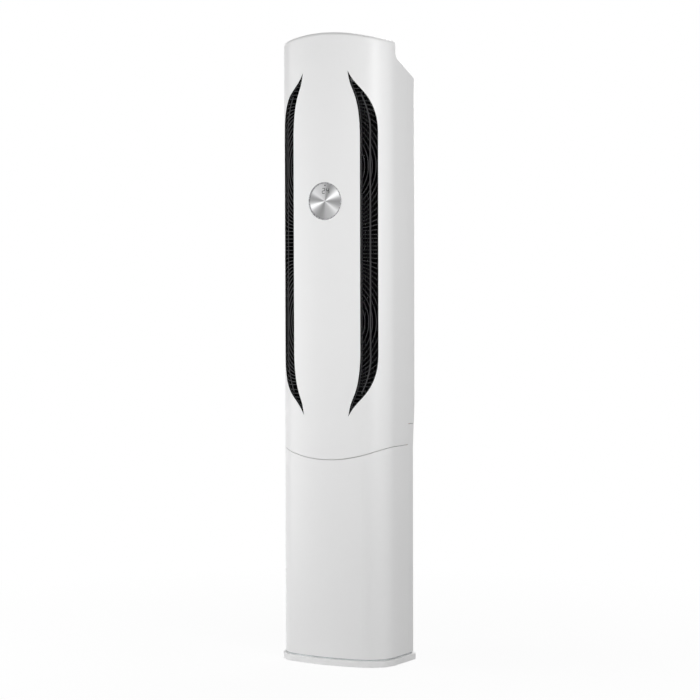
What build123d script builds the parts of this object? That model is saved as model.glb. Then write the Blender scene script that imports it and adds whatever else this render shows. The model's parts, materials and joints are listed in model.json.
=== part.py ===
from build123d import *

import os
from math import atan2, cos, radians, sin, sqrt, tan

# Floor standing air conditioner, in millimetres and degrees.
# +Z is up, -Y is the front, +X is the right seen from the front.
# The origin is on the floor, in the middle of the footprint.

# Fits and general clearances
seat_gap = 0.3
running_fit = 0.05
overrun = 5.0

# Cabinet outline
cabinet_width = 360.0
cabinet_depth = 227.0
cabinet_height = 1850.0
front_radius = 520.0
side_radius = 84.0
rear_radius = 25.0
panel_wall = 3.0
rear_swell = 9.0
swell_low_height = 638.0
swell_high_height = 756.0

# Head, crown and shoulder
crown_drop = 28.0
crown_edge = 9.0
head_depth = 117.0
shoulder_height = 1785.0
shoulder_angle = 25.0
neck_radius = 14.0
shoulder_edge = 18.0
angle_slack = 1e-6

# Seams between the covers
split_depth = 178.0
rear_seam_height = 705.0
seam_gap = 1.5
seam_height = 605.0
seam_rise = 39.0

# Feet, base plinth and base pan
foot_radius = 18.0
foot_height = 2.0
foot_spread_x = 260.0
foot_spread_y = 130.0
plinth_flare = 7.0
plinth_height = 18.0
plinth_edge = 2.0
foot_boss_wall = 4.0
base_gap = 4.5
pan_sheet = 2.0
pan_rim_height = 20.0
pan_gap = 0.5
anchor_hole_radius = 4.5
anchor_spread_x = 180.0
anchor_spread_y = 140.0

# Outlet slots, hooked at both ends
slot_inner = 112.0
slot_outer = 158.2
slot_tip = 74.5
slot_middle_height = 1234.8
slot_half_length = 503.0
slot_hook_length = 193.0
slot_reach = 60.0
hook_outer_shares = ((0.333, 0.944), (0.64, 0.646), (0.825, 0.269))
hook_inner_shares = ((0.333, 0.907), (0.64, 0.557), (0.825, 0.187))
hook_outer_lean = 0.55
hook_inner_lean = 0.2
slot_tip_lean = 0.375
slot_tip_miter = 6.0

# Black frame and ribbed grille in each slot
frame_flange = 7.0
frame_lip = 1.5
frame_sheet = 2.5
frame_recess = 0.8
grille_recess = 1.7
grille_depth = 3.6
grille_rim = 1.8
grille_rim_depth = 1.2
rib_width = 1.6
rib_pitch = 11.1
rib_recess = 0.8
ripple_spread = 226.0
ripple_offset = 119.0
ripple_near = 17.0
ripple_turn_start = 119.0
ripple_turn_end = 193.0
ripple_lean = 45.0
spine_width = 2.2
spine_share = 0.58
spine_recess = 0.4
outlet_angle = 30.0

# Cross-flow fans
fan_x = 82.0
fan_depth = 112.0
fan_radius = 46.0
fan_bottom_height = 775.0
fan_length = 920.0
fan_disc = 2.5
fan_bays = 9
blade_count = 30
blade_chord = 11.0
blade_sheet = 1.2
blade_lean_share = 0.2
fan_hub_radius = 12.0
fan_shaft_radius = 5.0
fan_pin_radius = 4.0
fan_pin_length = 12.0

# Fan casings
casing_sheet = 2.5
throat_gap = 4.0
volute_gap = 15.0
outer_mouth_angle = 50.0
inner_mouth_angle = 7.0
throat_angle = 22.0
intake_inner_angle = 95.0
intake_outer_angle = 145.0
casing_end_gap = 7.5

# Swing vanes and their motors
vane_orbit = 34.0
vane_chord = 36.0
vane_sheet = 2.6
vane_hub_radius = 4.0
vane_pin_radius = 3.0
vane_end_gap = 4.5
vane_motor_radius = 15.0
vane_motor_height = 20.0
vane_motor_ears = 40.0

# Fan motors, mounts and bearings
motor_radius = 42.0
motor_height = 44.0
motor_rib = 2.0
motor_band_shares = (0.2, 0.7)
motor_mount_radius = 48.0
motor_mount_sheet = 3.0
motor_bore_depth = 24.0
bearing_flange_radius = 13.0
bearing_sleeve_radius = 8.0
bearing_flange = 3.0

# Deck, uprights and brace
deck_height = 700.0
deck_sheet = 3.0
upright_width = 24.0
upright_depth = 25.0
upright_sheet = 2.0
upright_x = 162.0
upright_front_depth = 150.0
bolt_radius = 3.0
bolt_head_radius = 5.5
bolt_head_height = 4.0
brace_sheet = 2.0
brace_width = 280.0
brace_front_depth = 90.0
brace_back_depth = 206.0

# Evaporator
fins_width = 264.0
fins_depth = 26.0
fins_front_depth = 180.0
fins_bottom_height = 742.0
tube_rows = 36
tube_pitch = 26.0
tube_radius = 4.75
end_plate_sheet = 2.0
end_plate_inset = 2.0
tube_overhang = 12.0

# Drain
pan_width = 300.0
pan_front_depth = 176.0
pan_back_depth = 214.0
pan_height = 30.0
pan_wall = 2.5
hose_radius = 9.0
hose_wall = 2.0
hose_x = -100.0
hose_depth = 195.0
hose_outlet_height = 80.0
hose_bend = 20.0
hose_stick_out = 8.5
hose_shoulder = 0.5
spigot_radius = 8.0

# Refrigerant pipes
gas_pipe_radius = 6.35
liquid_pipe_radius = 3.2
gas_drop_x = 162.0
liquid_drop_x = 167.0
liquid_drop_depth = 208.0
gas_union_x = 100.0
liquid_union_x = 55.0
pipe_turn_height = 640.0
pipe_union_height = 560.0
union_top_height = 430.0
gas_thread_radius = 9.5
liquid_thread_radius = 5.6
union_hex_height = 14.0
union_thread_length = 14.0
union_hex_over = 2.5
gas_bend = 14.0
liquid_bend = 8.0
pipe_bracket_sheet = 3.0
pipe_bracket_edge = 16.0
pipe_outlet_radius = 35.0
pipe_outlet_height = 170.0

# Air filters and their rails
filter_gap = 0.5
filter_width = 143.0
filter_depth = 222.0
filter_thick = 6.0
filter_length = 938.0
filter_border = 8.0
filter_net = 0.8
filter_bars = 7
filter_tab_width = 40.0
filter_tab_height = 12.0
rail_sheet = 2.0
rail_grip = 5.0

# Intake louvres in the back
louvre_height = 8.0
louvre_pitch = 14.0
louvre_rows = 64
louvre_margin = 6.0
tie_hole_radius = 2.6
tie_hole_spread = 240.0
tie_hole_height = 732.0

# Display
display_height = 1360.5
display_radius = 55.4
bezel_face_depth = 2.4
bezel_ring = 3.4
bezel_lip = 4.0
bezel_flange = 7.0
bezel_flange_depth = 7.0
bezel_flange_sheet = 2.0
disc_recess = 1.0
disc_sheet = 3.0
disc_edge = 0.4
board_sheet = 1.6
display_board_size = 92.0

# Electrical plate, control box and terminals
plate_width = 340.0
plate_bottom_height = 380.0
plate_top_height = 660.0
plate_sheet = 2.0
box_width = 220.0
box_depth = 58.0
box_bottom_height = 436.0
box_top_height = 640.0
box_sheet = 1.5
cover_lip = 6.0
standoff_radius = 4.0
standoff_height = 12.0
board_margin = 14.0
terminal_width = 120.0
terminal_depth = 26.0
terminal_height = 26.0
terminal_pitch = 20.0
terminal_count = 5
terminal_screw_radius = 4.0
terminal_gap = 12.0
terminal_wall = 3.0
board_part_shares = (
    (-0.6, 0.5, 0.5, 0.5, 0.5),
    (0.0, 0.6, 0.3, 0.3, 0.2),
    (0.65, 0.6, 0.4, 0.4, 0.35),
    (0.1, -0.1, 0.35, 0.3, 0.1),
    (-0.65, -0.5, 0.4, 0.25, 0.25),
    (0.2, -0.8, 1.1, 0.16, 0.2),
)
capacitor_shares = (0.45, 0.66, 0.87)
capacitor_up_share = -0.3
capacitor_radius = 8.0
capacitor_height = 24.0
gland_radius = 10.0
gland_bore_radius = 5.0
gland_flange_radius = 14.0
gland_flange = 3.0
gland_height = 80.0
gland_x = 110.0

# Screws
screw_radius = 1.8
screw_head_radius = 4.0
screw_head_height = 2.2
screw_length = 9.0
screw_margin = 30.0

# Levels that follow from the sizes above
base_top = foot_height + plinth_height
pan_floor = base_top + pan_sheet
cabinet_bottom = base_top + base_gap
front_y = plinth_flare - (plinth_flare + cabinet_depth + rear_swell) / 2
deck_top = deck_height + deck_sheet
slot_bottom = slot_middle_height - slot_half_length
fan_top_height = fan_bottom_height + fan_length
casing_floor_height = fan_bottom_height - casing_end_gap - casing_sheet
casing_top_height = fan_top_height + casing_end_gap + casing_sheet
motor_top = deck_top + motor_mount_sheet + motor_height
side_x = cabinet_width / 2 - side_radius
side_y = front_radius - sqrt((front_radius - side_radius) ** 2 - side_x**2)
full_depth = cabinet_depth + rear_swell
inner_back = full_depth - panel_wall

os.makedirs("parts", exist_ok=True)


def deep(depth):
    # A depth behind the cabinet's foremost point, as a Y coordinate
    return front_y + depth


def save(piece, name):
    piece.part.label = name
    export_step(piece.part, "parts/" + name + ".step")


def save_pair(piece, name):
    # The piece is the right one, and its mirror image is the left one
    save(piece, name + "_right")
    twin = mirror(piece.part, about=Plane.YZ)
    twin.label = name + "_left"
    export_step(twin, "parts/" + name + "_left.step")


def front_plane(depth):
    # Local X is +X, local Y is +Z, and extrusion goes forwards
    return Plane(origin=(0, deep(depth), 0), x_dir=(1, 0, 0), z_dir=(0, -1, 0))


def on_side_arc(angle, inset):
    # A point on the corner arc, at an angle from straight ahead, moved inwards by the inset
    radius = side_radius - inset
    turn = radians(angle)
    return (side_x + radius * sin(turn), deep(side_y - radius * cos(turn)))


def cabinet_plan(inset, depth):
    # The cabinet's plan moved inwards by the inset: one shallow front arc, two corner arcs, straight sides
    half = cabinet_width / 2 - inset
    spoke = front_radius - side_radius
    ux = side_x / spoke
    uy = (side_y - front_radius) / spoke
    meet_x = ux * (front_radius - inset)
    meet_y = front_radius + uy * (front_radius - inset)
    turn = atan2(uy, ux) / 2
    bend_x = side_x + (side_radius - inset) * cos(turn)
    bend_y = side_y + (side_radius - inset) * sin(turn)
    back_x = cabinet_width / 2 - rear_radius
    back_y = depth - rear_radius
    rear_reach = (rear_radius - inset) * sqrt(0.5)
    with BuildSketch() as plan:
        with BuildLine():
            ThreePointArc((-meet_x, deep(meet_y)), (0, deep(inset)), (meet_x, deep(meet_y)))
            ThreePointArc((meet_x, deep(meet_y)), (bend_x, deep(bend_y)), (half, deep(side_y)))
            Line((half, deep(side_y)), (half, deep(back_y)))
            ThreePointArc(
                (half, deep(back_y)),
                (back_x + rear_reach, deep(back_y + rear_reach)),
                (back_x, deep(depth - inset)),
            )
            Line((back_x, deep(depth - inset)), (-back_x, deep(depth - inset)))
            ThreePointArc(
                (-back_x, deep(depth - inset)),
                (-back_x - rear_reach, deep(back_y + rear_reach)),
                (-half, deep(back_y)),
            )
            Line((-half, deep(back_y)), (-half, deep(side_y)))
            ThreePointArc((-half, deep(side_y)), (-bend_x, deep(bend_y)), (-meet_x, deep(meet_y)))
        make_face()
    return plan.sketch


def cabinet_form(inset, bottom):
    # The whole outer body, moved inwards by the inset: plan, swelling back, shoulder and crowned head
    slope = radians(shoulder_angle)
    neck_y = deep(head_depth - inset)
    neck_z = shoulder_height - inset / cos(slope) - inset * tan(slope)
    behind_y = deep(full_depth + overrun)
    above_z = cabinet_height + overrun
    reach_x = cabinet_width / 2 + overrun
    crown_radius = ((cabinet_width / 2) ** 2 + crown_drop**2) / (2 * crown_drop)
    crown_z = cabinet_height - inset
    crown_side_z = crown_z - crown_radius + sqrt(crown_radius**2 - reach_x**2)
    with BuildPart() as form:
        with BuildSketch(Plane.XY.offset(bottom)):
            add(cabinet_plan(inset, cabinet_depth))
        extrude(amount=swell_low_height - bottom)
        with BuildSketch(Plane.XY.offset(swell_low_height)):
            add(cabinet_plan(inset, cabinet_depth))
        with BuildSketch(Plane.XY.offset(swell_high_height)):
            add(cabinet_plan(inset, full_depth))
        loft(ruled=True)
        with BuildSketch(Plane.XY.offset(swell_high_height)):
            add(cabinet_plan(inset, full_depth))
        extrude(amount=cabinet_height - swell_high_height)
        with BuildSketch(Plane.YZ) as shoulder:
            with BuildLine():
                Polyline(
                    (neck_y, above_z),
                    (neck_y, neck_z),
                    (behind_y, neck_z - (behind_y - neck_y) * tan(slope)),
                    (behind_y, above_z),
                    close=True,
                )
            make_face()
            fillet(shoulder.vertices().sort_by(Axis.X)[:2].sort_by(Axis.Y)[0], radius=neck_radius + inset)
        extrude(amount=reach_x, both=True, mode=Mode.SUBTRACT)
        with BuildSketch(Plane.XZ):
            with BuildLine():
                ThreePointArc((-reach_x, crown_side_z), (0, crown_z), (reach_x, crown_side_z))
                Polyline(
                    (reach_x, crown_side_z),
                    (reach_x, above_z),
                    (-reach_x, above_z),
                    (-reach_x, crown_side_z),
                )
            make_face()
        extrude(amount=full_depth, both=True, mode=Mode.SUBTRACT)
        slopes = form.faces().filter_by(GeomType.PLANE).filter_by(
            lambda f: abs(f.normal_at().Z - cos(slope)) < angle_slack
        )
        rim = slopes.edges().filter_by(lambda e: e.center().Y > deep(head_depth + neck_radius))
        fillet(rim, radius=shoulder_edge - inset)
        brow = form.faces().filter_by(lambda f: f.center().Z > cabinet_height - crown_drop).edges()
        fillet(brow.filter_by(lambda e: e.center().Z > shoulder_height), radius=crown_edge - inset)
    return form.part


def seam_side(above, gap):
    # Everything above or below the arched front seam, short of it by the gap
    reach_x = cabinet_width / 2 + overrun
    rise = seam_rise * (reach_x / (cabinet_width / 2)) ** 2
    low_z = seam_height + (gap if above else -gap)
    far_z = cabinet_height + overrun if above else 0
    with BuildPart() as side:
        with BuildSketch(Plane.XZ):
            with BuildLine():
                ThreePointArc((-reach_x, low_z + rise), (0, low_z), (reach_x, low_z + rise))
                Polyline(
                    (reach_x, low_z + rise), (reach_x, far_z), (-reach_x, far_z), (-reach_x, low_z + rise)
                )
            make_face()
        extrude(amount=full_depth, both=True)
    return side.part


def hook_points(shares, straight_x, out, side, grow):
    # Points of one slot edge from its straight part to the upper (1) or lower (-1) tip, moved outwards
    start = slot_half_length - slot_hook_length
    spots = [(straight_x, start)]
    for along, across in shares:
        spots.append((slot_tip + across * (straight_x - slot_tip), start + along * slot_hook_length))
    spots.append((slot_tip, slot_half_length))
    moved = [(straight_x + out * grow, side * start)]
    for before, spot, after in zip(spots, spots[1:], spots[2:]):
        run = after[0] - before[0]
        rise = after[1] - before[1]
        step = out * grow / sqrt(run**2 + rise**2)
        moved.append((spot[0] + step * rise, side * (spot[1] - step * run)))
    reach = grow if grow > 0 else grow * slot_tip_miter
    moved.append((slot_tip - reach * slot_tip_lean, side * (slot_half_length + reach)))
    return moved


def slot_face(grow):
    # The right slot's outline seen from the front, about its middle, grown outwards
    straight_z = slot_half_length - slot_hook_length
    with BuildSketch() as face:
        with BuildLine():
            for side in (1, -1):
                outer = hook_points(hook_outer_shares, slot_outer, 1, side, grow)
                inner = hook_points(hook_inner_shares, slot_inner, -1, side, grow)
                Spline(*outer, tangents=((0, side), (-hook_outer_lean, side)))
                Spline(*inner, tangents=((0, side), (-hook_inner_lean, side)))
            Line((slot_outer + grow, straight_z), (slot_outer + grow, -straight_z))
            Line((slot_inner - grow, straight_z), (slot_inner - grow, -straight_z))
        make_face()
    return face.sketch


def slot_layer(front_inset, back_inset, outer_grow, inner_grow):
    # A layer of the right slot's surround between two insets, as wide as its two outlines say
    with BuildPart() as prism:
        with BuildSketch(slot_plane):
            add(slot_face(outer_grow))
            if inner_grow is not None:
                add(slot_face(inner_grow), mode=Mode.SUBTRACT)
        extrude(amount=slot_reach + overrun)
    with BuildPart() as layer:
        with BuildSketch(Plane.XY.offset(slot_bottom - 2 * frame_flange)):
            add(cabinet_plan(front_inset, cabinet_depth))
            add(cabinet_plan(back_inset, cabinet_depth), mode=Mode.SUBTRACT)
        extrude(amount=2 * (slot_half_length + 2 * frame_flange))
        add(prism.part, mode=Mode.INTERSECT)
    return layer.part


def slot_spine(front_inset, back_inset):
    # The grille's upright bar, nearer to the slot's outer edge
    straight_z = slot_half_length - slot_hook_length
    middle_x = slot_inner + spine_share * (slot_outer - slot_inner)
    with BuildPart() as spine:
        with BuildSketch(slot_plane):
            with BuildLine():
                for side in (1, -1):
                    outer = hook_points(hook_outer_shares, slot_outer, 1, side, 0)[:-2]
                    inner = hook_points(hook_inner_shares, slot_inner, -1, side, 0)[:-2]
                    spots = [(b[0] + spine_share * (a[0] - b[0]), a[1]) for a, b in zip(outer, inner)]
                    Spline(*spots)
                Line((middle_x, straight_z), (middle_x, -straight_z))
            trace(line_width=spine_width)
        extrude(amount=slot_reach + overrun)
        add(slot_layer(front_inset, back_inset, grille_edge, None), mode=Mode.INTERSECT)
    return spine.part


slot_plane = Plane(origin=(0, deep(slot_reach), slot_middle_height), x_dir=(1, 0, 0), z_dir=(0, -1, 0))
outer_form = cabinet_form(0, cabinet_bottom)
inner_form = cabinet_form(panel_wall, cabinet_bottom - overrun)
with BuildPart() as cabinet_shell:
    add(outer_form)
    add(inner_form, mode=Mode.SUBTRACT)
front_block = Plane.XZ.offset(-deep(split_depth))
rear_block = Plane.XZ.offset(-deep(split_depth + seat_gap))

# Upper front panel, with the slots and the display hole
with BuildPart() as front_panel_upper:
    add(cabinet_shell.part)
    split(bisect_by=front_block, keep=Keep.TOP)
    add(seam_side(True, seam_gap / 2), mode=Mode.INTERSECT)
    with BuildSketch(slot_plane):
        add(slot_face(0))
        mirror(about=Plane.YZ)
    extrude(amount=slot_reach + overrun, mode=Mode.SUBTRACT)
    with BuildSketch(front_plane(split_depth / 2)):
        with Locations((0, display_height)):
            Circle(display_radius)
    extrude(amount=split_depth, mode=Mode.SUBTRACT)
save(front_panel_upper, "front_panel_upper")

# Lower front panel, which pulls off forwards
with BuildPart() as front_panel_lower:
    add(cabinet_shell.part)
    split(bisect_by=front_block, keep=Keep.TOP)
    add(seam_side(False, seam_gap / 2), mode=Mode.INTERSECT)
save(front_panel_lower, "front_panel_lower")

# Rear cover, with its intake louvres, filter rails and the filters' slots through the shoulder
rail_x = filter_width + 2 * filter_gap + 2 * rail_sheet
rail_bottom = fins_bottom_height + rail_sheet
filter_bottom = rail_bottom + rail_sheet + seat_gap
with BuildPart() as rear_cover_upper:
    add(cabinet_shell.part)
    split(bisect_by=rear_block, keep=Keep.BOTTOM)
    split(bisect_by=Plane.XY.offset(rear_seam_height + seam_gap / 2), keep=Keep.TOP)
    with BuildSketch(Plane.XY.offset(rail_bottom)):
        for x in (-rail_x, 0, rail_x):
            grip = (-1 if x > 0 else 1 if x < 0 else 0) * rail_grip / 2
            with Locations((x, deep(inner_back) + overrun / 2)):
                web = inner_back - filter_depth + filter_gap
                Rectangle(2 * rail_sheet, web + overrun / 2, align=(Align.CENTER, Align.MAX))
            with Locations((x + grip, deep(filter_depth - filter_gap))):
                grip_width = 2 * (rail_sheet + rail_grip) if x == 0 else 2 * rail_sheet + rail_grip
                Rectangle(grip_width, rail_sheet, align=(Align.CENTER, Align.MAX))
    extrude(amount=filter_length - filter_tab_height)
    with BuildSketch(Plane.XY.offset(rail_bottom)):
        with Locations((0, deep(inner_back) + overrun / 2)):
            shelf_depth = inner_back - filter_depth + filter_gap + rail_sheet
            Rectangle(2 * (rail_x + rail_sheet), shelf_depth + overrun / 2, align=(Align.CENTER, Align.MAX))
    extrude(amount=rail_sheet)
    add(outer_form, mode=Mode.INTERSECT)
    slot_x = rail_sheet + filter_gap + filter_width / 2
    with BuildSketch(Plane.XY.offset(rail_bottom + filter_length)):
        filter_middle_y = deep(filter_depth + filter_thick / 2)
        with Locations((slot_x, filter_middle_y), (-slot_x, filter_middle_y)):
            Rectangle(filter_width + 2 * filter_gap, filter_thick + 2 * filter_gap)
    extrude(amount=cabinet_height, mode=Mode.SUBTRACT)
    with BuildSketch(Plane.XZ.offset(-deep(full_depth + overrun))):
        louvre_width = filter_width - 2 * louvre_margin
        louvre_middle = filter_bottom + filter_length / 2
        with Locations((slot_x, louvre_middle), (-slot_x, louvre_middle)):
            with GridLocations(louvre_width, louvre_pitch, 1, louvre_rows):
                Rectangle(louvre_width, louvre_height)
    extrude(amount=overrun + panel_wall + overrun / 2, mode=Mode.SUBTRACT)
    with BuildSketch(Plane.XZ.offset(-deep(full_depth + overrun))):
        with Locations((tie_hole_spread / 2, tie_hole_height), (-tie_hole_spread / 2, tie_hole_height)):
            Circle(tie_hole_radius)
    extrude(amount=2 * overrun + panel_wall + rear_swell, mode=Mode.SUBTRACT)
save(rear_cover_upper, "rear_cover_upper")

# Lower cabinet sheet, with the pipe, drain and cable holes in its back
screw_spots = [
    (side * (cabinet_width / 2 - rear_radius - screw_margin), z)
    for side in (1, -1)
    for z in (cabinet_bottom + screw_margin, swell_low_height - screw_margin)
]
with BuildPart() as rear_cabinet_lower:
    add(cabinet_shell.part)
    split(bisect_by=rear_block, keep=Keep.BOTTOM)
    split(bisect_by=Plane.XY.offset(rear_seam_height - seam_gap / 2), keep=Keep.BOTTOM)
    with BuildSketch(Plane.XZ.offset(-deep(full_depth + overrun))):
        with Locations((0, pipe_outlet_height)):
            Circle(pipe_outlet_radius)
        with Locations((hose_x, hose_outlet_height)):
            Circle(hose_radius + 2 * seat_gap)
        with Locations((gland_x, gland_height)):
            Circle(gland_radius + running_fit)
        with Locations(*screw_spots):
            Circle(screw_radius + running_fit)
    extrude(amount=full_depth - split_depth, mode=Mode.SUBTRACT)
save(rear_cabinet_lower, "rear_cabinet_lower")

with BuildPart() as cabinet_screws:
    with BuildSketch(Plane.XZ.offset(-deep(cabinet_depth))):
        with Locations(*screw_spots):
            Circle(screw_head_radius)
    extrude(amount=-screw_head_height)
    with BuildSketch(Plane.XZ.offset(-deep(cabinet_depth))):
        with Locations(*screw_spots):
            Circle(screw_radius)
    extrude(amount=screw_length)
    heads = cabinet_screws.faces().filter_by(Axis.Y).sort_by(Axis.Y)[-len(screw_spots):]
    fillet(heads.edges(), radius=screw_head_height / 2)
save(cabinet_screws, "cabinet_screws")

# Base plinth, feet and steel base pan
foot_spots = GridLocations(foot_spread_x, foot_spread_y, 2, 2)
anchor_spots = GridLocations(anchor_spread_x, anchor_spread_y, 2, 2)
with BuildPart() as base_plinth:
    with BuildSketch(Plane.XY.offset(foot_height)):
        add(cabinet_plan(-plinth_flare, cabinet_depth))
    extrude(amount=plinth_height)
    fillet(base_plinth.faces().sort_by(Axis.Z)[-1].edges(), radius=plinth_edge)
    with BuildSketch(Plane.XY.offset(foot_height)):
        add(cabinet_plan(-plinth_flare + panel_wall, cabinet_depth))
        with foot_spots:
            Circle(foot_radius + foot_boss_wall, mode=Mode.SUBTRACT)
    extrude(amount=plinth_height - panel_wall, mode=Mode.SUBTRACT)
    with BuildSketch(Plane.XY.offset(foot_height)):
        with anchor_spots:
            Circle(anchor_hole_radius)
    extrude(amount=plinth_height, mode=Mode.SUBTRACT)
save(base_plinth, "base_plinth")

with BuildPart() as rubber_feet:
    with BuildSketch():
        with foot_spots:
            Circle(foot_radius)
    extrude(amount=foot_height)
save(rubber_feet, "rubber_feet")

pan_inset = panel_wall + pan_gap
with BuildPart() as base_pan:
    with BuildSketch(Plane.XY.offset(base_top)):
        add(cabinet_plan(pan_inset, cabinet_depth))
    extrude(amount=pan_rim_height)
    with BuildSketch(Plane.XY.offset(pan_floor)):
        add(cabinet_plan(pan_inset + pan_sheet, cabinet_depth))
    extrude(amount=pan_rim_height, mode=Mode.SUBTRACT)
    with BuildSketch(Plane.XY.offset(base_top)):
        with anchor_spots:
            Circle(anchor_hole_radius)
    extrude(amount=pan_sheet, mode=Mode.SUBTRACT)
save(base_pan, "base_pan")

# Uprights: channels open to the middle, closed by a tab at each end
upright_y = deep(upright_front_depth + upright_depth / 2)
with BuildPart() as upright:
    with BuildSketch(Plane.XY.offset(pan_floor)):
        with Locations((upright_x, upright_y)):
            Rectangle(upright_width, upright_depth)
    extrude(amount=deck_height - pan_floor)
    with BuildSketch(Plane.XY.offset(pan_floor + upright_sheet)):
        with Locations((upright_x - upright_sheet, upright_y)):
            Rectangle(upright_width, upright_depth - 2 * upright_sheet)
    extrude(amount=deck_height - pan_floor - 2 * upright_sheet, mode=Mode.SUBTRACT)
    with BuildSketch(Plane.XY.offset(pan_floor)):
        with Locations((upright_x, upright_y)):
            Circle(bolt_radius)
    extrude(amount=deck_height, mode=Mode.SUBTRACT)
save_pair(upright, "upright")

# Deck that carries everything in the upper part
bolt_spots = [(upright_x, upright_y), (-upright_x, upright_y)]
gas_drop_y = deep(fins_front_depth + fins_depth / 2)
liquid_drop_y = deep(liquid_drop_depth)
with BuildPart() as mid_deck:
    with BuildSketch(Plane.XY.offset(deck_height)):
        add(cabinet_plan(panel_wall + seat_gap, cabinet_depth + panel_wall / 2))
        with Locations(*bolt_spots):
            Circle(bolt_radius, mode=Mode.SUBTRACT)
        with Locations((gas_drop_x, gas_drop_y)):
            Circle(gas_pipe_radius + seat_gap, mode=Mode.SUBTRACT)
        with Locations((liquid_drop_x, liquid_drop_y)):
            Circle(liquid_pipe_radius + seat_gap, mode=Mode.SUBTRACT)
        with Locations((hose_x, deep(hose_depth))):
            Circle(hose_radius + seat_gap, mode=Mode.SUBTRACT)
    extrude(amount=deck_sheet)
save(mid_deck, "mid_deck")

with BuildPart() as deck_bolts:
    with BuildSketch(Plane.XY.offset(deck_top)):
        with Locations(*bolt_spots):
            RegularPolygon(bolt_head_radius, 6)
    extrude(amount=bolt_head_height)
    with BuildSketch(Plane.XY.offset(deck_top)):
        with Locations(*bolt_spots):
            Circle(bolt_radius - running_fit)
    extrude(amount=-(deck_sheet + upright_sheet + bolt_head_height))
save(deck_bolts, "deck_bolts")

# Slot surround and ribbed grille
with BuildPart() as outlet_frame:
    add(slot_layer(panel_wall + seat_gap, panel_wall + seat_gap + frame_sheet, frame_flange, -frame_lip))
    add(slot_layer(frame_recess, panel_wall + seat_gap + frame_sheet, -seat_gap, -frame_lip))
save_pair(outlet_frame, "outlet_frame")

grille_edge = -(frame_lip + seat_gap)
arc_x, arc_y = on_side_arc(outlet_angle, 0)
ripple_plane = Plane(
    origin=(arc_x, arc_y, slot_middle_height),
    x_dir=(cos(radians(outlet_angle)), sin(radians(outlet_angle)), 0),
    z_dir=(sin(radians(outlet_angle)), -cos(radians(outlet_angle)), 0),
)
ripple_x = ((slot_inner + slot_outer) / 2 - arc_x) / cos(radians(outlet_angle))

# Level bars as heights from the slot's middle, then arcs as (how far the centre lies inwards, radius)
bar_count = int(slot_half_length / rib_pitch)
level_bars = []
for step in range(bar_count):
    height = (step + 1 / 2) * rib_pitch
    if abs(height - ripple_spread) > ripple_turn_end:
        level_bars.append(height)
rib_arcs = []
level = ripple_spread - level_bars[0]
while level > ripple_turn_end:
    level -= rib_pitch
while level > ripple_turn_start:
    lean = radians(ripple_lean) * (ripple_turn_end - level) / (ripple_turn_end - ripple_turn_start)
    inwards = level * tan(lean)
    rib_arcs.append((inwards, sqrt(level**2 + inwards**2)))
    level -= rib_pitch / cos(lean)
arc_radius = sqrt(level**2 + ripple_offset**2)
while arc_radius > ripple_offset - ripple_near - rib_pitch:
    rib_arcs.append((ripple_offset, arc_radius))
    arc_radius -= rib_pitch

with BuildPart() as ripples:
    for side in (1, -1):
        with BuildSketch(ripple_plane):
            for inwards, radius in rib_arcs:
                with Locations((ripple_x - inwards, side * ripple_spread)):
                    Circle(radius + rib_width / 2)
                    Circle(radius - rib_width / 2, mode=Mode.SUBTRACT)
            with Locations((ripple_x + slot_reach / 2, side * ripple_spread)):
                at_right = (Align.MAX, Align.CENTER)
                Rectangle(2 * slot_reach, 2 * ripple_turn_end, align=at_right, mode=Mode.INTERSECT)
            with Locations(*[(ripple_x, side * height) for height in level_bars]):
                Rectangle(cabinet_width, rib_width)
        extrude(amount=slot_reach, both=True)
grille_back = grille_recess + grille_depth
ribs = ripples.part & slot_layer(grille_recess + rib_recess, grille_back, grille_edge, None)
rim = slot_layer(grille_back - grille_rim_depth, grille_back, grille_edge, grille_edge - grille_rim)
grille_solid = ribs + rim + slot_spine(grille_recess + spine_recess, grille_back - spine_recess)
# An arc that only grazes the edge leaves an offcut, so the joined grille alone is kept
with BuildPart() as outlet_grille:
    add(grille_solid.solids().sort_by(SortBy.VOLUME)[-1], clean=False)
save_pair(outlet_grille, "outlet_grille")

# Fan casing: an outer wall that winds round the wheel, an inner wall with its throat, and two end plates
fan_y = deep(fan_depth)


def round_fan(angle, gap):
    # A point round the fan, at an angle from straight ahead towards the outside
    radius = fan_radius + gap
    return (fan_x + radius * sin(radians(angle)), fan_y - radius * cos(radians(angle)))


frame_back = panel_wall + seat_gap + frame_sheet
casing_inset = frame_back + seat_gap
outer_mouth = on_side_arc(outer_mouth_angle, casing_inset - casing_sheet)
inner_mouth = on_side_arc(inner_mouth_angle, casing_inset - casing_sheet)
with BuildSketch() as casing_walls:
    with BuildLine():
        Spline(
            round_fan(intake_outer_angle, throat_gap + casing_sheet),
            round_fan(90, volute_gap),
            on_side_arc(outer_mouth_angle, 2 * casing_inset + casing_sheet),
            outer_mouth,
        )
        Line(inner_mouth, round_fan(-throat_angle, throat_gap + casing_sheet))
        ThreePointArc(
            round_fan(-throat_angle, throat_gap + casing_sheet),
            round_fan(-(throat_angle + intake_inner_angle) / 2, throat_gap + casing_sheet),
            round_fan(-intake_inner_angle, throat_gap + casing_sheet),
        )
    trace(line_width=casing_sheet)
with BuildSketch() as casing_end:
    with Locations((fan_x, fan_y)):
        Circle(fan_radius + throat_gap)
    with BuildLine():
        Polyline(
            outer_mouth,
            inner_mouth,
            round_fan(-throat_angle, throat_gap + casing_sheet),
            (fan_x, fan_y),
            round_fan(90, volute_gap),
            close=True,
        )
    make_face()
vane_x, vane_y = on_side_arc(outlet_angle, vane_orbit)
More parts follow.
